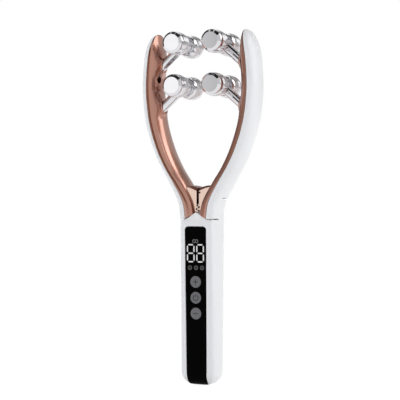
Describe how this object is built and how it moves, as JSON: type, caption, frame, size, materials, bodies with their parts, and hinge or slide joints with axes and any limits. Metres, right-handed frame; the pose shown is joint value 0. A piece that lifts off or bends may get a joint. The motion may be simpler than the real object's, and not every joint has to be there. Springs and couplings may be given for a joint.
{
  "type": "microcurrent face roller",
  "caption": "Hand-held facial massager: a slim handle with a display and buttons, and two geared spring arms that carry free-turning chrome rollers on slanted stems.",
  "frame": {"origin": "centre of the bounding box's underside, on the foot of the handle", "axes": "+Z along the handle towards the rollers, the display and buttons face -Y, and the arms open sideways along X"},
  "size_m": [0.0758, 0.0326, 0.2108],
  "materials": {
    "white_gloss_abs": "glossy white ABS",
    "rose_gold_plating": "rose gold vacuum plating on ABS, polished",
    "light_rose_gold_plating": "light rose gold plating, polished",
    "chrome_plating": "polished chrome plating",
    "black_gloss_panel": "black tinted acrylic, glossy",
    "grey_button_plastic": "dark grey, satin",
    "zinc_plated_steel": "zinc-plated steel",
    "brass_strip": "bare brass",
    "circuit_board": "green solder mask",
    "dark_moulded_plastic": "dark moulded plastic",
    "battery_foil": "laminated foil pouch"
  },
  "bodies": {
    "handle": {"front_housing": "white_gloss_abs", "rear_housing": "white_gloss_abs", "display_panel": "black_gloss_panel", "led_display": "dark_moulded_plastic", "main_circuit_board": "circuit_board", "battery": "battery_foil", "charging_board": "circuit_board", "charging_port": "zinc_plated_steel", "vibration_motor": "zinc_plated_steel", "plus_switch": "dark_moulded_plastic", "power_switch": "dark_moulded_plastic", "minus_switch": "dark_moulded_plastic", "hinge_bracket": "zinc_plated_steel", "left_pivot_pin": "zinc_plated_steel", "right_pivot_pin": "zinc_plated_steel", "left_torsion_spring": "zinc_plated_steel", "right_torsion_spring": "zinc_plated_steel", "board_screw_lower": "zinc_plated_steel", "board_screw_upper": "zinc_plated_steel", "bracket_screw_front": "zinc_plated_steel", "bracket_screw_rear": "zinc_plated_steel"},
    "plus_button": {"plus_button": "grey_button_plastic"},
    "power_button": {"power_button": "grey_button_plastic"},
    "minus_button": {"minus_button": "grey_button_plastic"},
    "motor_weight": {"motor_weight": "brass_strip"},
    "left_arm": {"left_outer_cover": "white_gloss_abs", "left_inner_cover": "rose_gold_plating", "left_hinge_gear": "light_rose_gold_plating", "left_upper_stem": "chrome_plating", "left_lower_stem": "chrome_plating", "left_upper_stem_nut": "zinc_plated_steel", "left_lower_stem_nut": "zinc_plated_steel", "left_upper_axle": "zinc_plated_steel", "left_lower_axle": "zinc_plated_steel", "left_cover_screw": "zinc_plated_steel", "left_contact_strip": "brass_strip"},
    "left_upper_front_roller": {"left_upper_front_roller": "chrome_plating"},
    "left_upper_rear_roller": {"left_upper_rear_roller": "chrome_plating"},
    "left_lower_front_roller": {"left_lower_front_roller": "chrome_plating"},
    "left_lower_rear_roller": {"left_lower_rear_roller": "chrome_plating"},
    "right_arm": {"right_outer_cover": "white_gloss_abs", "right_inner_cover": "rose_gold_plating", "right_hinge_gear": "light_rose_gold_plating", "right_upper_stem": "chrome_plating", "right_lower_stem": "chrome_plating", "right_upper_stem_nut": "zinc_plated_steel", "right_lower_stem_nut": "zinc_plated_steel", "right_upper_axle": "zinc_plated_steel", "right_lower_axle": "zinc_plated_steel", "right_cover_screw": "zinc_plated_steel", "right_contact_strip": "brass_strip"},
    "right_upper_front_roller": {"right_upper_front_roller": "chrome_plating"},
    "right_upper_rear_roller": {"right_upper_rear_roller": "chrome_plating"},
    "right_lower_front_roller": {"right_lower_front_roller": "chrome_plating"},
    "right_lower_rear_roller": {"right_lower_rear_roller": "chrome_plating"}
  },
  "joints": [
    {"name": "plus_button_press", "type": "slide", "parent": "handle", "child": "plus_button", "axis": [0, 1, 0], "range_m": [0, 0.0004], "stiffness_N_per_m": 250, "springref_m": -0.0004},
    {"name": "power_button_press", "type": "slide", "parent": "handle", "child": "power_button", "axis": [0, 1, 0], "range_m": [0, 0.0004], "stiffness_N_per_m": 250, "springref_m": -0.0004},
    {"name": "minus_button_press", "type": "slide", "parent": "handle", "child": "minus_button", "axis": [0, 1, 0], "range_m": [0, 0.0004], "stiffness_N_per_m": 250, "springref_m": -0.0004},
    {"name": "motor_weight_spin", "type": "hinge", "parent": "handle", "child": "motor_weight", "pos_m": [0, -0.0029, 0.013], "axis": [0, 0, 1], "continuous": true},
    {"name": "left_arm_hinge", "type": "hinge", "parent": "handle", "child": "left_arm", "pos_m": [-0.0056, 0, 0.105], "axis": [0, -1, 0], "range_deg": [0, 7], "stiffness_Nm_per_rad": 0.5, "springref_deg": -4.01},
    {"name": "left_upper_front_roller_spin", "type": "hinge", "parent": "left_arm", "child": "left_upper_front_roller", "pos_m": [-0.0127, 0, 0.2038], "axis": [0, 1, 0], "continuous": true},
    {"name": "left_upper_rear_roller_spin", "type": "hinge", "parent": "left_arm", "child": "left_upper_rear_roller", "pos_m": [-0.0127, 0, 0.2038], "axis": [0, 1, 0], "continuous": true},
    {"name": "left_lower_front_roller_spin", "type": "hinge", "parent": "left_arm", "child": "left_lower_front_roller", "pos_m": [-0.0127, 0, 0.1784], "axis": [0, 1, 0], "continuous": true},
    {"name": "left_lower_rear_roller_spin", "type": "hinge", "parent": "left_arm", "child": "left_lower_rear_roller", "pos_m": [-0.0127, 0, 0.1784], "axis": [0, 1, 0], "continuous": true},
    {"name": "right_arm_hinge", "type": "hinge", "parent": "handle", "child": "right_arm", "pos_m": [0.0056, 0, 0.105], "axis": [0, 1, 0], "range_deg": [0, 7]},
    {"name": "right_upper_front_roller_spin", "type": "hinge", "parent": "right_arm", "child": "right_upper_front_roller", "pos_m": [0.0127, 0, 0.2038], "axis": [0, 1, 0], "continuous": true},
    {"name": "right_upper_rear_roller_spin", "type": "hinge", "parent": "right_arm", "child": "right_upper_rear_roller", "pos_m": [0.0127, 0, 0.2038], "axis": [0, 1, 0], "continuous": true},
    {"name": "right_lower_front_roller_spin", "type": "hinge", "parent": "right_arm", "child": "right_lower_front_roller", "pos_m": [0.0127, 0, 0.1784], "axis": [0, 1, 0], "continuous": true},
    {"name": "right_lower_rear_roller_spin", "type": "hinge", "parent": "right_arm", "child": "right_lower_rear_roller", "pos_m": [0.0127, 0, 0.1784], "axis": [0, 1, 0], "continuous": true}
  ],
  "couplings": [
    {"joint": "right_arm_hinge", "follows": "left_arm_hinge", "ratio": 1}
  ]
}
